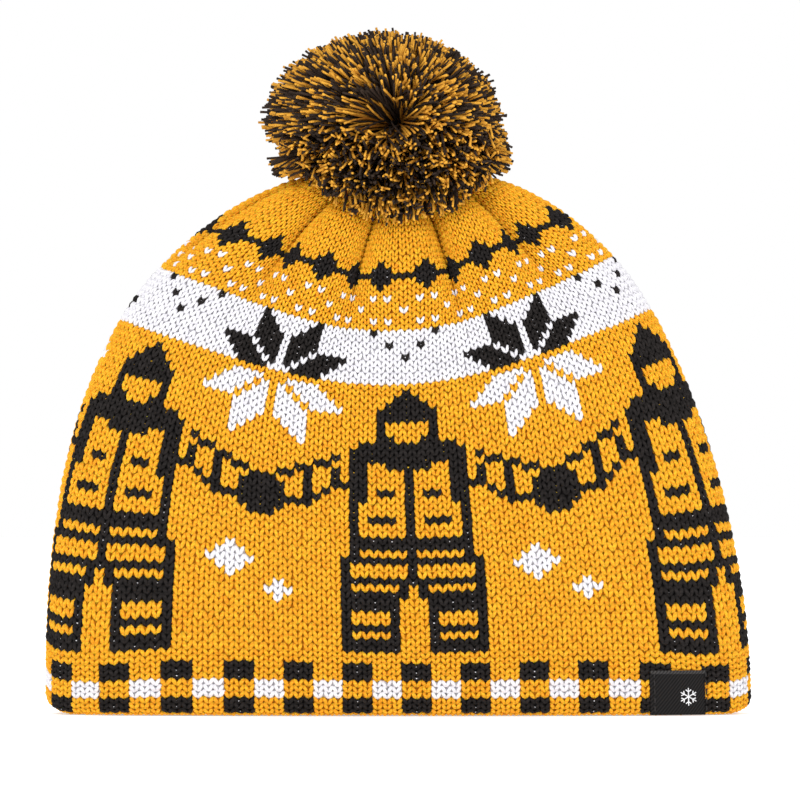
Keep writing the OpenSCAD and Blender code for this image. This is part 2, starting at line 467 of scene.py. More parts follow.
# Heights along each column's wale, at even shares of its length above the fold
WALE_STEPS = 400
wale_columns = np.arange(COLUMNS + 1) - COLUMNS / 2
fine_heights = FOLD_R + (CROWN_Z - FOLD_R) * (1 - (1 - np.linspace(0, 1, 3000)) ** 2)
wale_lengths = np.zeros(COLUMNS + 1)
wale_heights = np.zeros((COLUMNS + 1, WALE_STEPS + 1))
for i, wale_angle in enumerate(column_angle(wale_columns)):
    lengths = running_length(wall_point(wale_angle, fine_heights))
    wale_lengths[i] = lengths[-1]
    wale_heights[i] = np.interp(np.linspace(0, lengths[-1], WALE_STEPS + 1), lengths, fine_heights)


def between(table, column, step):
    """Reads a table of columns by steps between its entries."""
    i = np.clip(np.floor(column).astype(int), 0, table.shape[0] - 2)
    j = np.clip(np.floor(step).astype(int), 0, table.shape[1] - 2)
    a, b = column - i, step - j
    if table.ndim == 3:
        a, b = a[..., None], b[..., None]
    low = table[i, j] * (1 - b) + table[i, j + 1] * b
    high = table[i + 1, j] * (1 - b) + table[i + 1, j + 1] * b
    return low * (1 - a) + high * a


def ramp(value, start, end):
    """0 before start, 1 after end, and smooth between them."""
    t = np.clip((value - start) / (end - start), 0, 1)
    return t * t * (3 - 2 * t)


def distance_up(column, row, length):
    """How far up the wale a row lies, from the fold's lowest point. Rows below 0 are inside the hem."""
    x = signed_power(np.cos(column_angle(column)), 2 / PLAN_SQUARE)
    side = np.minimum(1, (np.abs(x) / SIDE_FROM) ** SIDE_BLEND)
    front_share = np.interp(row, ROW_MARKS, FRONT_CLIMB)
    side_share = np.interp(row, ROW_MARKS, SIDE_CLIMB)
    share = front_share * (1 - side) + side_share * side
    tilt = ROW_TILT * x * ramp(row, *TILT_ROWS[:2]) * (1 - ramp(row, TILT_ROWS[2], ROWS))
    return np.where(row < 0, row * ROW_INSIDE, share * length + tilt)


def smooth_surface(column, row):
    """The hat's surface at a column and row, before its pleats."""
    quarter = FOLD_R * TURN / 4
    place = (column + COLUMNS / 2) % COLUMNS
    length = np.interp(place, np.arange(COLUMNS + 1), wale_lengths) + quarter
    up = distance_up(column, row, length)
    bend = np.clip(up / FOLD_R, -TURN / 4, TURN / 4)
    rise = FOLD_LIFT + (FOLD_R - FOLD_LIFT) * (1 - np.cos(bend))
    step = np.clip((up - quarter) / (length - quarter), 0, 1) * WALE_STEPS
    z = np.where(up > quarter, between(wale_heights, place, step), rise)
    z = np.where(up < -quarter, FOLD_R - up - quarter, z)
    angle = column_angle(column)
    point = wall_point(angle, z, FOLD_R * (np.sin(bend) - 1))
    point[..., 2] += corner_lift(angle, z)
    return point


def corner_lift(angle, z):
    """How far the knit is drawn up round the hat's two ends: most at the hem, and less and less above."""
    back_or_front = np.abs(signed_power(np.sin(angle), 2 / PLAN_SQUARE))
    most = np.where(np.cos(angle) < 0, *CORNER_LIFTS)
    return most * (1 - ramp(back_or_front, 0, CORNER_SPAN)) * (1 - ramp(z, *CORNER_HEIGHTS))


def normals_of(surface, column, row):
    """Outward directions of a surface, from its slopes over a small step h in columns and rows."""
    h = 0.02
    across = surface(column + h, row) - surface(column - h, row)
    along = surface(column, row + h) - surface(column, row - h)
    return unit(np.cross(across, along))


def gathered(column, row):
    """Where a column lies: the knit is turned to the right a little, is gathered towards the middle of the
    crown's front and back, and is pulled further round both sides at the hem than above."""
    beside = (column + COLUMNS / 4) % (COLUMNS / 2) - COLUMNS / 4
    gather = CROWN_GATHER * beside * np.sin(TURN / 2 * beside / (COLUMNS / 4)) ** 2
    away = (column + COLUMNS / 2) % COLUMNS - COLUMNS / 2
    aside = np.sign(away) * ramp(np.abs(away), *PULL_COLUMNS) * (1 - ramp(np.abs(away), *PULL_FADES))
    pull = aside * (HEM_PULL - PULL_CHANGE * ramp(row, *CHANGE_ROWS))
    turned = TURNED + TURNED_MORE * ramp(row, *MORE_ROWS)
    return column + turned - gather * ramp(row, *GATHER_ROWS) + pull


def pleated_surface(column, row):
    """The surface with its crown pleats: soft lobes with a sharp crease between neighbours."""
    lobe = column / PLEAT
    slow = np.sin(TURN * (lobe * SLOW_TURNS + SLOW_START))
    uneven = 1 + SLOW_SIZE * slow + QUICK_SIZE * np.sin(TURN * lobe * QUICK_TURNS)
    grown = ramp(row, *PLEAT_ROWS)
    bunched = gathered(column, row) + PLEAT_BUNCH * grown * np.sin(TURN * lobe)
    crease = 1 - np.abs(np.cos(TURN / 2 * lobe)) ** CREASE_SHARP
    depth = PLEAT_DEPTH * grown * uneven * (1 - (1 - PLEAT_LEFT) * ramp(row, PLEAT_FADES, ROWS))
    point = smooth_surface(bunched, row)
    return point - normals_of(smooth_surface, bunched, row) * (crease * depth)[..., None]


# Points and normals on a grid of half stitches, which every stitch reads
grid_columns = np.arange(0, COLUMNS + 0.25, 0.5)
grid_rows = np.arange(-ROWS_INSIDE - 2, ROWS + 2.25, 0.5)
grid = np.meshgrid(grid_columns, grid_rows, indexing="ij")
grid_points = pleated_surface(*grid)
grid_normals = normals_of(pleated_surface, *grid)


def knit_point(column, row, height):
    """A point at a height over the knitted surface, at any column and row."""
    place = (column % COLUMNS) * 2
    step = (row - grid_rows[0]) * 2
    point = between(grid_points, place, step)
    normal = between(grid_normals, place, step)
    return point + normal * np.asarray(height)[..., None]


# -------- the pattern

YELLOW, BLACK, WHITE = 0, 1, 2

# Half of one figure, from its centre column out to the joined hands, from row 50 down to row 12.
# It is a plain snow-suit figure with a bobble hat, mirrored at both ends. Here # is black.
FIGURE_TOP_ROW = 50
FIGURE = """
#
##
###
####
####
...#
...#
..##
######
#######
#######.#
###..##..##
#....##.#..##
#....##.#..#.##
#....####..#...##
#.##.##..#.#..###
#....##...##..###
#.....#....######
#.....#.......###
#.###.#........##
#.....#
#.....#
#######
#######
#.....#
########
#......#
#......#
########
.#.....#
.#######
..######
..######
..#....#
..#....#
..######
..#....#
..######
..######
""".split()

# Half of the eight-pointed star, from its middle row up to its tips
STAR_MIDDLE_ROW = 51
STAR = """
..####
.#.####
.##.####
.###.####
.####
.####
..###
...##
....#
""".split()

CHAIN_ROW = 70  # the middle row of the black diamonds

pattern = np.full((ROWS, COLUMNS), YELLOW)
pattern_columns = (np.arange(COLUMNS) + COLUMNS // 2) % COLUMNS - COLUMNS // 2  # 0 is the centre front
half_way = np.abs((pattern_columns + REPEAT // 2) % REPEAT - REPEAT // 2)  # 0 on a figure, 16 on a star


def paint(row, wanted, colour):
    """Colours the wanted columns of one row."""
    pattern[row, wanted] = colour


def paint_chart(line, row, away, colour):
    """Paints a chart's marks in one row, counted away from a column in both directions."""
    marked = np.array([mark == "#" for mark in line.ljust(REPEAT // 2 + 1)])
    paint(row, marked[away], colour)


def paint_hem():
    """Black squares in two lines, with white ones between them."""
    for row in (1, 2, 3, 7, 8, 9):
        paint(row, np.isin(pattern_columns % 6, (5, 0, 1)), BLACK)
    for row in (4, 5, 6):
        paint(row, np.isin(pattern_columns % 6, (2, 3, 4)), WHITE)


def paint_figures():
    """The row of figures, hand in hand."""
    for k, line in enumerate(FIGURE):
        paint_chart(line, FIGURE_TOP_ROW - k, half_way, BLACK)


def paint_diamond(column, row, radius):
    """A white diamond in each repeat of the pattern."""
    for k in range(-radius, radius + 1):
        away = np.abs((pattern_columns - column + REPEAT // 2) % REPEAT - REPEAT // 2)
        paint(row + k, away <= radius - abs(k), WHITE)


def paint_stars():
    """Black upper half on the white band, and white lower half on the yellow."""
    pattern[ROW_MARKS[4] : ROW_MARKS[5]] = WHITE
    for k, line in enumerate(STAR, 1):
        paint_chart(line, STAR_MIDDLE_ROW + k, REPEAT // 2 - half_way, BLACK)
        paint_chart(line, STAR_MIDDLE_ROW - k, REPEAT // 2 - half_way, WHITE)
    for row, column in ((60, 4), (58, 2), (56, 0)):
        paint(row, half_way == column, BLACK)


def paint_crown():
    """Lines of white dots, and a chain of black diamonds above them."""
    for row, columns in ((62, (2, 4)), (64, (0,)), (66, (2, 4))):
        paint(row, np.isin(pattern_columns % 6, columns), WHITE)
    for k in range(-2, 3):
        paint(CHAIN_ROW + k, np.abs(pattern_columns % 6 - 3) <= 2 - abs(k), BLACK)
    paint(CHAIN_ROW, slice(None), BLACK)


paint_hem()
paint_figures()
paint_diamond(13, 24, 2)
paint_diamond(18, 20, 1)
paint_stars()
paint_crown()

# -------- the knit's stitches

# The course of a stitch's right leg, in stitches across and up and in millimetres out
LEG_ACROSS = (0.00, 0.125, 0.255, 0.365, 0.40)
LEG_UP = (-0.45, -0.02, 0.42, 0.86, 1.30)
LEG_OUT = (-1.30, -0.52, -0.20, -0.40, -1.25)
LEG_WIDTH = (0.215, 0.235, 0.210)  # half of it between its ends, in stitches
LEG_THICK = (0.62, 0.70, 0.62)  # half of it between its ends, in millimetres
LEG_SIDES = 6
LEG_TWIST = 0.9  # turns of the yarn's ply from one of its rings to the next

# A leg's own unevenness: a share of its width, then across and up in stitches and out in millimetres
UNEVEN_WIDTH, UNEVEN_ACROSS, UNEVEN_UP, UNEVEN_OUT = 0.05, 0.03, 0.05, 0.08
ALTERNATE = 0.3  # the part of a stitch's tone that changes from each stitch to the next

FLOAT_SHARE = 0.8  # of the places where a float could show, how many have one
FLOAT_R, FLOAT_DEPTH = 0.2 * MM, 0.22 * MM
FLOAT_HALF, FLOAT_UP = 0.13, 0.30  # its half length, and its height over the row, in stitches
YELLOW_FLOAT_ROWS = range(31, 51)  # behind the figures' upper halves
WHITE_FLOAT_ROWS = (*range(1, 31), *range(52, 74))

GROUND_DEPTH = 1.05 * MM  # the ground's outer face, under the knit's surface
GROUND_INNER = KNIT_T - 0.3 * MM

yellow_yarn = yarn_material("yellow_yarn_knit", linear(228, 172, 38), linear(204, 130, 20), glow=0.5)
black_yarn = yarn_material("black_yarn_knit", linear(40, 36, 35), linear(16, 14, 13), sheen=0.04, gloss=0.12)
white_yarn = yarn_material("white_yarn_knit", linear(230, 229, 232), linear(198, 196, 202), sheen=0.02)


def leg_places(course, around):
    """Where a leg's points lie in one direction: those of its rings, then its two ends."""
    rings = np.array(course)[1:-1, None] + around
    return np.concatenate([rings.ravel(), [course[0], course[-1]]])


def stitch_legs(columns, rows):
    """Points of both legs of each stitch, tubes by points by 3, with a small unevenness of its own."""
    count = len(columns)
    turn = TURN * (np.arange(LEG_SIDES) + 0.5) / LEG_SIDES
    across = leg_places(LEG_ACROSS, np.outer(LEG_WIDTH, np.cos(turn)))
    up = leg_places(LEG_UP, 0 * turn)
    out = leg_places(LEG_OUT, np.outer(LEG_THICK, np.sin(turn)))
    legs = []
    for side in (1, -1):
        wobble = rng.normal(0, 1, (4, count, 1))
        width = side * across * (1 + UNEVEN_WIDTH * wobble[0])
        column = columns[:, None] + width + UNEVEN_ACROSS * wobble[1]
        row = rows[:, None] + up + UNEVEN_UP * wobble[2]
        legs.append(knit_point(column, row, (out + UNEVEN_OUT * wobble[3]) * MM))
    return legs


def stitch_piece(name, wanted):
    """One piece with all the stitches that are wanted, as (column, row) pairs."""
    columns, rows = (np.array(v, float) for v in zip(*wanted))
    right, left = stitch_legs(columns, rows)
    count, rings = len(columns), len(LEG_ACROSS) - 2
    quads, triangles = tube_faces(count, rings, LEG_SIDES)
    size = rings * LEG_SIDES + 2
    quads = np.concatenate([quads, quads[:, ::-1] + count * size])
    triangles = np.concatenate([triangles, triangles[:, ::-1] + count * size])
    ring, side = np.meshgrid(np.arange(rings), np.arange(LEG_SIDES), indexing="ij")
    ply = (ring * LEG_TWIST + side / LEG_SIDES).ravel()
    ply = np.tile(np.concatenate([ply, [0, rings * LEG_TWIST]]), 2 * count)
    pale = rng.random(count) * (1 - ALTERNATE) + ALTERNATE * ((columns + rows) % 2)
    tone = np.tile(np.repeat(pale, size), 2)
    points = np.concatenate([right, left]).reshape(-1, 3)
    return make_piece(name, points, quads, triangles, ply=ply, tone=tone)


def stitches_of(colour):
    """Every stitch of a colour, as (column, row) pairs. The hem's turned part is all yellow."""
    found = [(c, r) for r in range(ROWS) for c in range(COLUMNS) if pattern[r, c] == colour]
    if colour == YELLOW:
        found += [(c, -r) for r in range(1, ROWS_INSIDE + 1) for c in range(COLUMNS)]
    return found


def float_piece(name, rows_wanted):
    """Short glimpses of the yarn that floats behind the black, at every second stitch."""
    cells = [(c, r) for r in rows_wanted for c in range(COLUMNS) if pattern[r, c] == BLACK and c % 2 == 0]
    cells = [cell for cell in cells if rng.random() < FLOAT_SHARE]
    columns, rows = (np.array(v, float)[:, None] for v in zip(*cells))
    columns = columns + np.linspace(-FLOAT_HALF, FLOAT_HALF, 4) + rng.normal(0, UNEVEN_ACROSS, columns.shape)
    rows = rows + FLOAT_UP + rng.normal(0, UNEVEN_UP, rows.shape)
    return tubes(name, knit_point(columns, rows, -FLOAT_DEPTH), FLOAT_R, sides=5)


def ground_material():
    """What shows between the stitches, and the hat's inside: the yarns behind, crossed by floats. Its yellow
    and black are darker than those yarns: painted shade in the gaps between the stitches.
    """
    n = Nodes("knit_ground")
    fibres = n.noise(4200, 4)
    lit = n.spread(fibres, 0.3, 0.7)
    # painted shade: the ground's yellow and black are darker than the stitches' yarns
    yellow = n.mix(lit, linear(198, 126, 20), linear(164, 98, 12))
    black = n.mix(lit, linear(24, 21, 21), linear(12, 10, 10))
    white = n.mix(lit, linear(224, 223, 227), linear(204, 202, 208))
    colour = n.mix(n.math("GREATER_THAN", n.value("black_share"), 0.5), yellow, black)
    colour = n.mix(n.math("GREATER_THAN", n.value("white_share"), 0.5), colour, white)
    floats = n.bump(n.wave("Z", 140, 2.0), 0.6, 0.5 * MM)
    n.surface(
        Base_Color=colour,
        Roughness=n.spread(fibres, 0.3, 0.7, 0.8, 1.0),
        Specular_IOR_Level=0.1,
        Normal=n.bump(fibres, 0.4, 0.1 * MM, floats),
    )
    return n.material


def knit_ground():
    """The fabric behind the stitches, as one closed skin from the crown down the outside, round the fold
    and the turned hem, and up the inside, where the colours behind the pattern alternate."""
    columns = np.arange(COLUMNS) + 0.0
    outer_rows = np.arange(ROWS + 0.5, -ROWS_INSIDE - 0.5, -1.0)
    inner_rows = np.arange(ROWS_INSIDE - 0.5, ROWS + 1.0, 1.0)
    outer = knit_point(*np.meshgrid(columns, outer_rows), -GROUND_DEPTH)
    inner = knit_point(*np.meshgrid(columns, inner_rows), -GROUND_INNER)
    rows = np.floor(np.concatenate([outer_rows, inner_rows])).astype(int)
    rows = np.clip(rows, -1, ROWS - 1)
    colours = np.where(rows[:, None] < 0, YELLOW, pattern[rows])
    inside = np.arange(len(rows))[:, None] >= len(outer_rows)
    every_second = (rows[:, None] + columns[None].astype(int)) % 2 == 0
    behind = np.where(rows[:, None] > ROW_MARKS[4], WHITE, BLACK)
    colours = np.where(inside & every_second & (colours == YELLOW), behind, colours)
    points = np.concatenate([outer, inner])
    quads = grid_faces(len(points), COLUMNS, rows_closed=True, columns_closed=True)[:, ::-1]
    shares = {"black_share": colours == BLACK, "white_share": colours == WHITE}
    return make_piece("knit_ground", points.reshape(-1, 3), quads, **shares)


def make_knit():
    """The ground, then the stitches and the floats over it. It returns the ground, for what rests on it."""
    ground = finish_piece(knit_ground(), ground_material(), "hat", "yellow_yarn", "knit_shell")
    layers = (
        (stitch_piece("knit_yellow_stitches", stitches_of(YELLOW)), yellow_yarn, "yellow_yarn"),
        (stitch_piece("knit_black_stitches", stitches_of(BLACK)), black_yarn, "black_yarn"),
        (stitch_piece("knit_white_stitches", stitches_of(WHITE)), white_yarn, "white_yarn"),
        (float_piece("knit_yellow_floats", YELLOW_FLOAT_ROWS), yellow_yarn, "yellow_yarn"),
        (float_piece("knit_white_floats", WHITE_FLOAT_ROWS), white_yarn, "white_yarn"),
    )
    for piece, material, slot in layers:
        finish_piece(piece, material, "hat", slot)
    return ground


ground = make_knit()

# -------- the pom

POM_STRANDS = 11500
STRAND_R, STRAND_R_UNEVEN = 0.40 * MM, 0.08
STRAND_WIDTHS = (1, 1, 1, 1, 1.03, 1.1)  # along a strand, whose cut end frays a little
STRAND_SHAPE = {"sides": 5, "pitch": 3.4 * MM}
POM_HEIGHT = (POM_TOP - POM_Z) * 0.98  # the longest tips then reach the CAD's top
POM_FRONT = 0.86  # the pom's depth, as a share of its width
POM_UNDER = 0.92  # how far its underside reaches down, as a share of its height above
FULLNESS = 0.18  # how much fuller than a ball its under half is
POM_LEAN = -5.4 * MM  # how far the tips have slumped to the left
LEAN_HEIGHTS = (-16 * MM, 2 * MM)  # from which height over the middle they have, and where fully
DROOP = 10 * MM  # how far the low tips at the front and the back hang down over the crown
DROOP_HEIGHTS = (2 * MM, -24 * MM)  # from which height over the middle they do, and where fully
DROOP_AWAY = (0.3, 0.75)  # the same for how far forwards they are, as a share of the pom's half depth

# Bundles of strands of one colour. Directions are shares: 1 is straight up, forwards or sideways.
NEW_BUNDLE = 0.7  # how often the next strand begins a bundle
BLACK_SHARE = 0.53
LOWEST = -0.95  # the lowest direction
SPREAD = 0.04  # how far a strand turns away from its bundle
PARTING = 0.92  # no strand above the middle points straighter to the front or back than this
PARTING_UP = (-0.2, 0.1)  # from which direction upwards that holds, and where fully

# How far the bundles reach, as shares of the pom's size
FULL_SHARE, FULL_REACH = 0.45, (0.97, 0.012)  # those cut at its surface: how many, their mean and spread
SHORT_REACH = (0.6, 0.96)  # the least and the most of the others
STRAND_UNEVEN = 0.014  # from strand to strand in a bundle
STRAY_REACH = 1.1  # a few stick out
STRAY_LEFT, STRAY_UP, STRAY_NEAR = 0.75, -0.47, 0.1  # low at the left: where, and how near to that
STRAY_SHARE = 0.35  # how many there

# Where the strands start, and how they bend on their way
ROOT_R, ROOT_SHARES = BINDING_HIGH.x - 0.4 * MM, (0.6, 1.0)
ROOT_FLAT, ROOT_RISE, ROOT_UNEVEN = 0.35, 4 * MM, 1.0 * MM
BUNDLE_WAVE, STRAND_WAVE = 2.4 * MM, 0.4 * MM
SWING = (-2 * MM, 14 * MM)  # how far the upper strands swing out over the front and the back
SWING_FROM = (-0.5, 0.1)  # from which direction upwards they do, and where fully
ARCH = 1.5 * MM  # how far level strands rise on their way
LATE_DOWN, LATE_FACING = (-0.15, 0.3), (0.15, 0.5)  # directions down and forwards in which strands bend late
BEND_AT, BEND_LATER, BEND_FORWARDS = 0.45, 0.6, 0.4  # where the bend is, as shares of the way to the tip

# Room over the crown: at least, for each metre away from the middle, and by chance
LEAST_ROOM, MORE_ROOM = 1.4 * MM, 3.0 * MM
SIDE_ROOM, FRONT_ROOM = 0.27, 0.12
BESIDE = 1.6  # strands whose tips are this much further aside than forwards are at a side
SKIRT_TOP = POM_Z - 5 * MM  # strands that reach lower than this belong to the skirt
SKIRT_LOW = CROWN_Z - 14 * MM  # where its lowest strands end

# Its dark tone, which the strands take on most towards their roots, is painted shade between the strands.
pom_yellow = yarn_material(
    "yellow_yarn_pom", linear(232, 172, 60), linear(132, 76, 12), twist_shade=0.12, root_shade=0.6
)
pom_black = yarn_material(
    "black_yarn_pom", linear(58, 46, 38), linear(16, 12, 11), sheen=0.03, gloss=0.1, twist_shade=0.12
)


def bundle_directions():
    """The bundle of each strand, how far up each bundle points before the parting, and where it points."""
    bundle = np.cumsum(rng.random(POM_STRANDS) < NEW_BUNDLE)
    bundles = bundle[-1] + 1
    up = rng.uniform(LOWEST, 1, bundles)
    turn = rng.uniform(0, TURN, bundles)
    level = np.sqrt(1 - up**2)
    middle = xyz(level * np.cos(turn), level * np.sin(turn), up)
    facing = middle[:, 1] * (1 - (1 - PARTING) * ramp(up, *PARTING_UP))
    middle[:, [0, 2]] = unit(middle[:, [0, 2]]) * np.sqrt(1 - facing**2)[:, None]
    middle[:, 1] = facing
    return bundle, up, middle


def bundle_reach(up, left):
    """How far each bundle reaches. The strays are among those that point low and to the left."""
    count = len(up)
    full = rng.normal(*FULL_REACH, count)
    short = rng.uniform(*SHORT_REACH, count)
    reach = np.where(rng.random(count) < FULL_SHARE, full, short)
    stray = (left > STRAY_LEFT) & (np.abs(up - STRAY_UP) < STRAY_NEAR) & (rng.random(count) < STRAY_SHARE)
    return np.where(stray, STRAY_REACH, reach)


def droop(y, z):
    """Heights of the tips, from the middle: those that face the front or the back hang over the crown."""
    away = np.abs(y) / (POM_R * POM_FRONT)
    return z - DROOP * ramp(z, *DROOP_HEIGHTS) * ramp(away, *DROOP_AWAY)


def strand_tips(direction, reach):
    """Where the strands end: on a ball whose under half is fuller and less high, slumped to the left."""
    above = direction[:, 2] > 0
    height = np.where(above, POM_HEIGHT, POM_HEIGHT * POM_UNDER)
    fuller = np.where(above, 1, (1.01 - direction[:, 2] ** 2) ** -FULLNESS)
    half = xyz(POM_R * fuller, POM_R * POM_FRONT * fuller, height)
    tips = direction * half * reach[:, None]
    tips[:, 2] = droop(tips[:, 1], tips[:, 2])
    tips[:, 0] += POM_LEAN * reach * ramp(tips[:, 2], *LEAN_HEIGHTS)
    tips[:, 2] += POM_Z
    return tips


def strand_roots(direction):
    """Where the strands come out of the binding."""
    root = unit(direction * [1, 1, ROOT_FLAT]) * ROOT_R * rng.uniform(*ROOT_SHARES, (POM_STRANDS, 1))
    root[:, 2] = POM_Z + direction[:, 2] * ROOT_RISE + rng.normal(0, ROOT_UNEVEN, POM_STRANDS)
    return root


def strand_bends(direction, root, tips, bundle):
    """The middle points of the strands' curves. Low ones at the front and the back turn forwards late, so
    that their cut ends face outwards. Upper ones swing out before they rise, which leaves a hollow."""
    bundles = bundle[-1] + 1
    late = ramp(-direction[:, 2], *LATE_DOWN) * ramp(np.abs(direction[:, 1]), *LATE_FACING)
    share = BEND_AT + BEND_LATER * late
    bend = root + (tips - root) * xyz(share, BEND_FORWARDS, share)
    bend += rng.normal(0, BUNDLE_WAVE, (bundles, 3))[bundle] * (1 + late[:, None])
    bend += rng.normal(0, STRAND_WAVE, (POM_STRANDS, 3))
    swung = np.sign(direction[:, 1]) * rng.uniform(*SWING, bundles)[bundle]
    bend[:, 1] += swung * np.sqrt(1 - direction[:, 1] ** 2) * ramp(direction[:, 2], *SWING_FROM)
    bend[:, 2] += ARCH * (1 - np.abs(direction[:, 2]))
    return bend


def pom_strands():
    """Where the strands start, bend and end, and which of them are black."""
    bundle, up, middle = bundle_directions()
    direction = unit(middle[bundle] + rng.normal(0, SPREAD, (POM_STRANDS, 3)))
    reach = bundle_reach(up, -middle[:, 0])[bundle] * rng.normal(1, STRAND_UNEVEN, POM_STRANDS)
    tips = strand_tips(direction, reach)
    root = strand_roots(direction)
    bend = strand_bends(direction, root, tips, bundle)
    black = (rng.random(len(up)) < BLACK_SHARE)[bundle]
    return root, bend, tips, black


def beside_hat(tips):
    """Which strands hang over the hat's sides, and not over its front or back."""
    return np.abs(tips[:, 0]) > BESIDE * np.abs(tips[:, 1])


def strand_lines(root, bend, tips):
    """Curves through the three points, kept clear above the crown."""
    t = np.linspace(0, 1, len(STRAND_WIDTHS))[None, :, None]
    lines = (1 - t) ** 2 * root[:, None] + 2 * t * (1 - t) * bend[:, None] + t**2 * tips[:, None]
    x, y = lines[..., 0], lines[..., 1]
    slope = np.where((np.abs(x) > np.abs(y)) | beside_hat(tips)[:, None], SIDE_ROOM, FRONT_ROOM)
    room = LEAST_ROOM + slope * np.abs(y) + rng.uniform(0, MORE_ROOM, (len(tips), 1))
    lines[..., 2] = np.maximum(lines[..., 2], crown_height(x, y) + room)
    return lines


def make_pom():
    """Upper strands move with the pom. The skirt lies just over the crown, in pieces for its sides and for
    its front and back, which stay in place."""
    root, bend, tips, black = pom_strands()
    lines = strand_lines(root, bend, tips)
    thick = STRAND_R * rng.normal(1, STRAND_R_UNEVEN, (len(lines), 1)) * np.array(STRAND_WIDTHS)
    skirt = lines[..., 2].min(-1) < SKIRT_TOP
    beside = beside_hat(tips)
    colours = (("yellow", ~black, pom_yellow), ("black", black, pom_black))
    for colour, wanted, material in colours:
        chosen = wanted & ~skirt
        upper = tubes(f"pom_{colour}_strands", lines[chosen], thick[chosen], **STRAND_SHAPE)
        finish_piece(upper, material, "pom", f"{colour}_yarn", f"pom_{colour}_yarn")
        for place, there, low_body, high_body, low_z in (
            ("side", beside, "tie", "pom", CROWN_Z),
            ("front_and_back", ~beside, "hat", "tie", SKIRT_LOW),
        ):
            chosen = wanted & skirt & there
            lower = tubes(f"pom_{colour}_{place}_skirt", lines[chosen], thick[chosen], **STRAND_SHAPE)
            finish_piece(lower, material, None, f"{colour}_yarn")
            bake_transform(lower)


make_pom()

# -------- the tie, its binding and its knot

TIE_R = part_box("tie_neck")[1].x
KNOT_STRAND_R = 0.95 * MM
PLY_TURN = 7  # length of one turn of a cord's plies, in its radii
PLY_WIDTH = 0.56  # a ply's radius, in the cord's
PLY_PITCH, TURN_RISE = 1.4, 1.4  # a ply's own twist, and how far the binding climbs in a turn, in radii
WAVER, WAVES = 0.12 * MM, (900, 700)  # how far the tie wavers, and how often, in radians for each metre


def ring_line(radius, z, turns=1, rise=0.0, points=48):
    """A line round the pom's axis, which climbs by rise in each turn."""
    turn = np.linspace(0, TURN * turns, points * turns + 1)
    return xyz(radius * np.cos(turn), radius * np.sin(turn), z + rise * turn / TURN)


def upright_line(low, high, points=24):
    """A line up the pom's axis that wavers a little."""
    z = np.linspace(low, high, points)
    return xyz(WAVER * np.sin(z * WAVES[0]), WAVER * np.cos(z * WAVES[1]), z)


def yarn_piece(name, line, radius, material, slot, body, node, plies=3):
    """A plied yarn that stands for one CAD node."""
    lines = plied(line, radius, plies, radius * PLY_TURN)
    piece = tubes(name, lines, radius * PLY_WIDTH, sides=8, blunt=0.5, pitch=radius * PLY_PITCH)
    return finish_piece(piece, material, body, slot, node)


def knot_line(radius):
    """An overhand knot's course, a trefoil, just inside a ball of that radius."""
    turn = np.linspace(0, TURN, 90)
    x = (2 + np.cos(3 * turn)) * np.cos(2 * turn)
    y = (2 + np.cos(3 * turn)) * np.sin(2 * turn)
    return xyz(x, y, np.sin(3 * turn)) * radius / 3


def make_tie():
    """The tie's two lengths, the binding round it, its knot, and the thread that gathers the crown."""
    black = (pom_black, "black_yarn")
    low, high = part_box("tie_neck")
    yarn_piece("tie_neck_cord", upright_line(low.z, high.z), TIE_R, *black, "tie", "tie_neck")
    low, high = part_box("pom_core_tie")
    yarn_piece("pom_core_cord", upright_line(low.z, high.z), TIE_R, *black, "pom", "pom_core_tie")
    cord_r = (BINDING_HIGH.x - TIE_R) / 2
    turns = ring_line(TIE_R + cord_r, BINDING_LOW.z + cord_r, turns=3, rise=TURN_RISE * cord_r)
    yarn_piece("pom_binding_cord", turns, cord_r, *black, "pom", "pom_binding", plies=2)
    low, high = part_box("tie_knot")
    knot = knot_line(high.x - KNOT_STRAND_R) + np.array([0, 0, (low.z + high.z) / 2])
    yarn_piece("tie_knot_cord", knot, KNOT_STRAND_R, *black, "tie", "tie_knot", plies=2)
    low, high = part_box("crown_gather_thread")
    thread_r = (high.z - low.z) / 2
    gather = ring_line(high.x - thread_r, low.z + thread_r)
    yellow = (yellow_yarn, "yellow_thread")
    yarn_piece("crown_gather_cord", gather, thread_r, *yellow, "hat", "crown_gather_thread", plies=2)


make_tie()

# -------- sewn lines and the back seam

yellow_thread = yarn_material("yellow_sewing_thread", linear(240, 172, 40), linear(204, 124, 10), gloss=0.4)
black_thread = yarn_material(
    "black_sewing_thread", linear(44, 40, 40), linear(18, 16, 16), sheen=0.05, gloss=0.4
)
white_thread = yarn_material("white_sewing_thread", linear(240, 240, 240), linear(204, 204, 208), gloss=0.4)

THREAD_PITCH = 0.9 * MM  # one turn of the thread's ply
HEM_STITCHES, BAND_STITCHES = 130, 150
SEWN_SHARES = np.linspace(0.06, 0.94, 7)  # points of a sewn stitch, as shares of its room
SEWN_R, SEWN_RAISED = 0.8, 1.3  # a thread's radius in the CAD's, and how far it stands up, in radii
SEWN_UNEVEN = 0.1 * MM
SEAM_T, SEAM_ROOM = 1.8 * MM, 0.3 * MM  # its thickness, and its distance from the knit's inside
SEAM_ROUND = 0.7  # below 1, for a section squarer than an ellipse
SEAM_RINGS, SEAM_SIDES = 120, 12
EDGE_SHARES = (0.86, 0.40)  # how wide and how thick its edges are, in its half width and its thickness
LOOP_SHARES = (0.97, 0.46)  # the same for the loops of the overlock
LOOP_PITCH, LOOP_POINTS, LOOP_R = 2.4 * MM, 14, 0.28 * MM


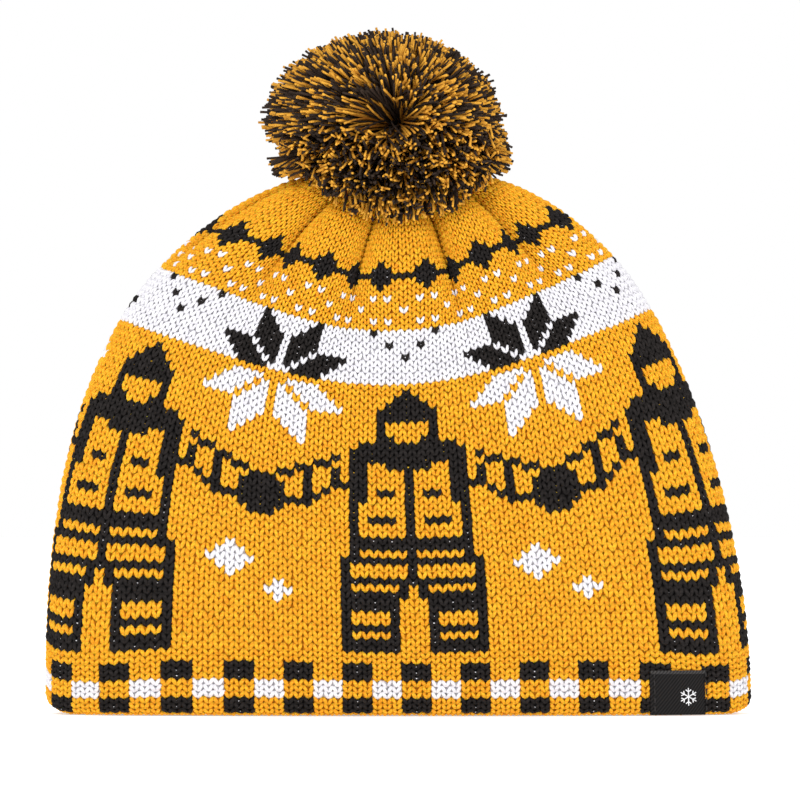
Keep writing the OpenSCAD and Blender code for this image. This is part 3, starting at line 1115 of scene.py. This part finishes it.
def sewn_round(name, node, out, stitches, material, slot):
    """A line of separate stitches round the hat's inside. Each dips into the cloth at its ends."""
    low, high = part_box(node)
    thread_r = (high.z - low.z) / 2 * SEWN_R
    columns = (np.arange(stitches)[:, None] + SEWN_SHARES) / stitches * COLUMNS
    heights = (low.z + high.z) / 2 + rng.normal(0, SEWN_UNEVEN, (stitches, 1))
    raised = np.sin(SEWN_SHARES * TURN / 2) ** 0.5 * thread_r * SEWN_RAISED
    lines = wall_point(column_angle(columns), heights, out - raised)
    return finish_piece(tubes(name, lines, thread_r, pitch=THREAD_PITCH), material, "hat", slot, node)


def seam_point(across, z, depth):
    """A point on the back seam: across from its middle, and depth in from the hat's outer surface."""
    back = wall_point(np.full_like(z, TURN / 4), z, -depth)
    back[..., 0] += across
    return back


def make_seam():
    """The two raw edges held together, and the overlock thread that loops round them."""
    low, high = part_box("back_seam")
    half_w = high.x
    depth = KNIT_T + SEAM_ROOM + SEAM_T / 2
    z = np.linspace(low.z, high.z, SEAM_RINGS)[:, None]
    turn = TURN * np.arange(SEAM_SIDES) / SEAM_SIDES
    across = EDGE_SHARES[0] * half_w * signed_power(np.cos(turn), SEAM_ROUND)
    inwards = depth + EDGE_SHARES[1] * SEAM_T * signed_power(np.sin(turn), SEAM_ROUND)
    skin = seam_point(across, z, inwards).reshape(-1, 3)
    ply = np.tile(turn / TURN * 3, SEAM_RINGS)
    tone = np.repeat(rng.random(SEAM_RINGS), SEAM_SIDES)
    faces = grid_faces(SEAM_RINGS, SEAM_SIDES, columns_closed=True)
    edge = make_piece("back_seam_edge", skin, faces, ply=ply, tone=tone)
    finish_piece(edge, yellow_yarn, "hat", "yellow_yarn", "back_seam")
    loops = int((high.z - low.z) / LOOP_PITCH)
    turn = np.linspace(0, TURN * loops, loops * LOOP_POINTS)
    z = low.z + (high.z - low.z) * turn / turn[-1]
    across = LOOP_SHARES[0] * half_w * np.cos(turn)
    line = seam_point(across, z, depth + LOOP_SHARES[1] * SEAM_T * np.sin(turn))
    overlock = tubes("back_seam_overlock", line[None], LOOP_R, pitch=THREAD_PITCH)
    finish_piece(overlock, yellow_thread, "hat", "yellow_thread")


make_seam()
sewn_round("hem_stitches", "hem_thread", -KNIT_T, HEM_STITCHES, yellow_thread, "yellow_thread")
band_face = BAND_OUT - BAND_T
sewn_round("band_lower_stitches", "band_lower_thread", band_face, BAND_STITCHES, black_thread, "black_thread")
sewn_round("band_upper_stitches", "band_upper_thread", band_face, BAND_STITCHES, black_thread, "black_thread")

# -------- the fleece ear band

PILE_DEPTH = 0.06 * MM
SEWN_WIDTH = 1.6 * MM  # how far from its sewn lines the band is drawn in
BAND_GRID = (640, 64)  # points round the hat, and round the band's section
FACES_OUT, DRAWN_IN = 0.46, 0.12  # its faces from its middle, and how far they are drawn in, in thicknesses
END_ROUND, FACE_ROUND = 0.25, 0.35  # below 1, for a section that is almost a rectangle


def fleece_material():
    """Short brushed pile in near-black, with lighter tips and small curls."""
    n = Nodes("dark_fleece")
    pile = n.noise(2600, 5)
    curls = n.noise(420, 3)
    tone = n.total((pile, 0.6), (curls, 0.5))
    n.surface(
        Base_Color=n.mix(n.spread(tone, 0.35, 0.75), linear(30, 28, 28), linear(66, 62, 60)),
        Roughness=n.spread(pile, 0.3, 0.7, 0.85, 1.0),
        Specular_IOR_Level=0.1,
        Sheen_Weight=0.35,
        Sheen_Roughness=0.4,
        Sheen_Tint=linear(120, 114, 110),
        Normal=n.bump(pile, 0.9, 0.4 * MM, n.bump(curls, 0.7, 0.8 * MM)),
    )
    return n.material


def make_band():
    """A ring with rounded edges, its faces uneven with the pile and drawn in along its sewn lines."""
    around, section = BAND_GRID
    turn = TURN * np.arange(section) / section
    middle = (BAND_LOW + BAND_TOP) / 2
    half_h = (BAND_TOP - BAND_LOW) / 2
    z = middle + half_h * signed_power(np.sin(turn), END_ROUND)
    drawn = np.zeros(section)
    for node in ("band_lower_thread", "band_upper_thread"):
        low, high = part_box(node)
        drawn += np.exp(-(((z - (low.z + high.z) / 2) / SEWN_WIDTH) ** 2))
    thick = (FACES_OUT - DRAWN_IN * drawn) * BAND_T
    out = BAND_OUT - BAND_T / 2 + thick * signed_power(np.cos(turn), FACE_ROUND)
    tufts = rng.normal(0, 1, (around, section))
    for _ in range(2):
        tufts = (tufts + np.roll(tufts, 1, 0) + np.roll(tufts, 1, 1)) / 2
    columns = np.arange(around)[:, None] / around * COLUMNS
    points = wall_point(column_angle(columns), z, out + np.clip(tufts, -2, 2) * PILE_DEPTH)
    quads = grid_faces(around, section, rows_closed=True, columns_closed=True)[:, ::-1]
    band = make_piece("fleece_band", points.reshape(-1, 3), quads)
    finish_piece(band, fleece_material(), "hat", "dark_fleece", "fleece_ear_band")
    return band


band = make_band()

# -------- the two labels


def woven_material(name, light, dark, scale, gloss=0.5):
    """Close woven ribbon, with a fine twill that climbs to the right."""
    n = Nodes(name)
    twill = n.wave("DIAGONAL", scale, stretch=(1, 1, -1))
    threads = n.wave("Z", scale * 1.7)
    wear = n.noise(900, 3)
    tone = n.total((twill, 0.7), (wear, 0.3))
    n.surface(
        Base_Color=n.mix(n.spread(tone, 0.2, 0.8), dark, light),
        Roughness=n.spread(wear, 0.3, 0.7, 0.45, 0.65),
        Specular_IOR_Level=gloss,
        Normal=n.bump(threads, 0.4, 0.05 * MM, n.bump(twill, 0.6, 0.08 * MM)),
    )
    return n.material


def front_column(x):
    """The column on the front that stands at x, near the hem."""
    columns = np.linspace(0, COLUMNS / 4, 400)
    return np.interp(x, wall_point(column_angle(columns), LABEL_LOW.z)[:, 0], columns)


LABEL_OUT = 0.95 * MM  # the woven label's outer face, over the knit's surface
LABEL_T = 0.45 * MM
LABEL_LEFT, LABEL_RIGHT = 0.5 * MM, 0.9 * MM  # how far its cloth lies in from the CAD label's sides
LABEL_HANGS_TO = 0.4 * MM  # its lower edge hangs just over the floor, in front of the hem's fold
LABEL_CURL = 0.25 * MM  # how far its side edges bend back
LABEL_FOLD_H, LABEL_FOLD_OUT = 1.3 * MM, 0.3 * MM  # the folded strip along its top
PROUD = 0.05 * MM  # just over the label's face
MARK_R, MARK_STRAND_R = 3.1 * MM, 0.2 * MM
MARK_FROM_RIGHT, MARK_UP = 6.2 * MM, 6.4 * MM
MARK_MIDDLE, BARB_AT, BARB_LENGTH, BARB_TURN = 0.05, 0.55, 0.38, TURN / 7  # shares of an arm, and an angle
LABEL_STITCH, LABEL_STITCH_R, LABEL_STITCH_COUNT = 1.8 * MM, 0.24 * MM, 5
LABEL_STITCH_IN, LABEL_STITCH_RAISED = 0.3 * MM, 0.18 * MM  # in from the CAD stitches' sides, and out
CARE_T, CARE_WAVE = 0.5 * MM, 0.35 * MM
CARE_WAVES, CARE_PHASE, CARE_FADE = 0.8, 0.6, 1.2  # its waves across, where they start, how they fade upwards
CARE_STITCH_R, CARE_STITCH_COUNT = 0.25 * MM, 6
CARE_STITCH_SHARE = 0.6  # how much of its room a stitch fills
STITCH_PITCH = 0.8 * MM


def label_point(x, z, out):
    """A point on the front, at x and z and out from the knit's surface."""
    return wall_point(column_angle(front_column(x)), z, out)


def slab(name, surface, columns, rows):
    """A closed sheet from its outer and inner faces: surface(across, up, side), with side 1 or 0."""
    across, up = np.meshgrid(np.linspace(0, 1, columns), np.linspace(0, 1, rows))
    outer, inner = surface(across, up, 1.0), surface(across, up, 0.0)
    points = np.concatenate([outer.reshape(-1, 3), inner.reshape(-1, 3)])
    face = grid_faces(rows, columns)
    inside = face[:, ::-1] + rows * columns
    index = np.arange(rows * columns).reshape(rows, columns)
    rim = np.concatenate([index[0, :-1], index[:-1, -1], index[-1, :0:-1], index[:0:-1, 0]])
    after = np.roll(rim, -1)
    edge = np.stack([after, rim, rim + rows * columns, after + rows * columns], -1)
    return make_piece(name, points, np.concatenate([face, inside, edge]))


def snowflake(centre, radius):
    """Six arms with a pair of short barbs each, as lines on the label: (x, z) pairs."""
    lines = []
    for k in range(6):
        arm = TURN * k / 6 + TURN / 12
        tip = np.array([math.cos(arm), math.sin(arm)]) * radius
        lines.append((centre - tip * MARK_MIDDLE, centre + tip))
        for side in (1, -1):
            barb = arm + side * BARB_TURN
            start = centre + tip * BARB_AT
            lines.append((start, start + np.array([math.cos(barb), math.sin(barb)]) * radius * BARB_LENGTH))
    return np.array(lines)


def make_woven_label():
    """A strip of black ribbon with its top folded, and a small plain snowflake."""
    low_x, high_x = LABEL_LOW.x + LABEL_LEFT, LABEL_HIGH.x - LABEL_RIGHT
    low_z, high_z = LABEL_HANGS_TO, LABEL_HIGH.z

    def face(across, up, side):
        curl = LABEL_CURL * np.abs(2 * across - 1) ** 6
        x = low_x + (high_x - low_x) * across
        z = low_z + (high_z - low_z) * up
        return label_point(x, z, LABEL_OUT - curl - LABEL_T * (1 - side))

    def folded_top(across, up, side):
        x = low_x + (high_x - low_x) * across
        z = high_z - LABEL_FOLD_H * (1 - up)
        return label_point(x, z, LABEL_OUT + PROUD + LABEL_FOLD_OUT * side * np.sin(up * TURN / 2) ** 0.5)

    black_label = woven_material("black_woven_label", linear(30, 28, 28), linear(6, 5, 5), 420, gloss=0.1)
    edge_label = woven_material("black_label_fold", linear(58, 56, 56), linear(20, 19, 19), 420, gloss=0.2)
    label = slab("woven_label_cloth", face, 40, 30)
    finish_piece(label, black_label, "hat", "black_label", "woven_label")
    finish_piece(slab("woven_label_fold", folded_top, 40, 6), edge_label, "hat", "black_label")
    marks = snowflake(np.array([high_x - MARK_FROM_RIGHT, low_z + MARK_UP]), MARK_R)
    share = np.linspace(0, 1, 5)[None, :, None]
    flat = marks[:, :1] * (1 - share) + marks[:, 1:] * share
    lines = label_point(flat[..., 0], flat[..., 1], LABEL_OUT + PROUD)
    mark = tubes("woven_label_mark", lines, MARK_STRAND_R, pitch=0.6 * MM)
    finish_piece(mark, white_thread, "hat", "white_thread")


def make_label_stitches():
    """Short upright stitches down both sides of the woven label."""
    low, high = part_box("label_stitches")
    share = np.linspace(0, 1, 5)
    raised = LABEL_OUT + LABEL_STITCH_RAISED * np.sin(share * TURN / 2)
    lines = []
    for x in (low.x + LABEL_STITCH_IN, high.x - LABEL_STITCH_IN):
        for start in np.linspace(low.z, high.z - LABEL_STITCH, LABEL_STITCH_COUNT):
            lines.append(label_point(x, start + LABEL_STITCH * share, raised))
    piece = tubes("woven_label_stitches", lines, LABEL_STITCH_R, pitch=STITCH_PITCH)
    finish_piece(piece, black_thread, "hat", "black_thread", "label_stitches")


def make_care_label():
    """A blank satin label folded double, hung from its top edge with a gentle wave."""
    low, high = CARE_LOW, CARE_HIGH

    def face(across, up, side):
        x = low.x + (high.x - low.x) * across
        z = low.z + (high.z - low.z) * up
        wave = CARE_WAVE * np.sin(across * TURN * CARE_WAVES + CARE_PHASE) * (1 - up) ** CARE_FADE
        y = (low.y + high.y) / 2 + wave - (side - 0.5) * CARE_T
        return xyz(x, y, z)

    satin = woven_material("white_satin_label", linear(240, 240, 238), linear(214, 214, 212), 700, gloss=0.7)
    label = slab("care_label_cloth", face, 40, 50)
    finish_piece(label, satin, "care_flap", "white_label", "care_label")
    low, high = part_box("care_label_stitches")
    pitch = (high.x - low.x) / (CARE_STITCH_COUNT - 1 + CARE_STITCH_SHARE)
    share = np.linspace(0, CARE_STITCH_SHARE, 5)
    x = low.x + pitch * (np.arange(CARE_STITCH_COUNT)[:, None] + share)
    lines = xyz(x, (low.y + high.y) / 2, (low.z + high.z) / 2)
    piece = tubes("care_label_thread", lines, CARE_STITCH_R, pitch=STITCH_PITCH)
    finish_piece(piece, white_thread, "hat", "white_thread", "care_label_stitches")


make_woven_label()
make_label_stitches()
make_care_label()
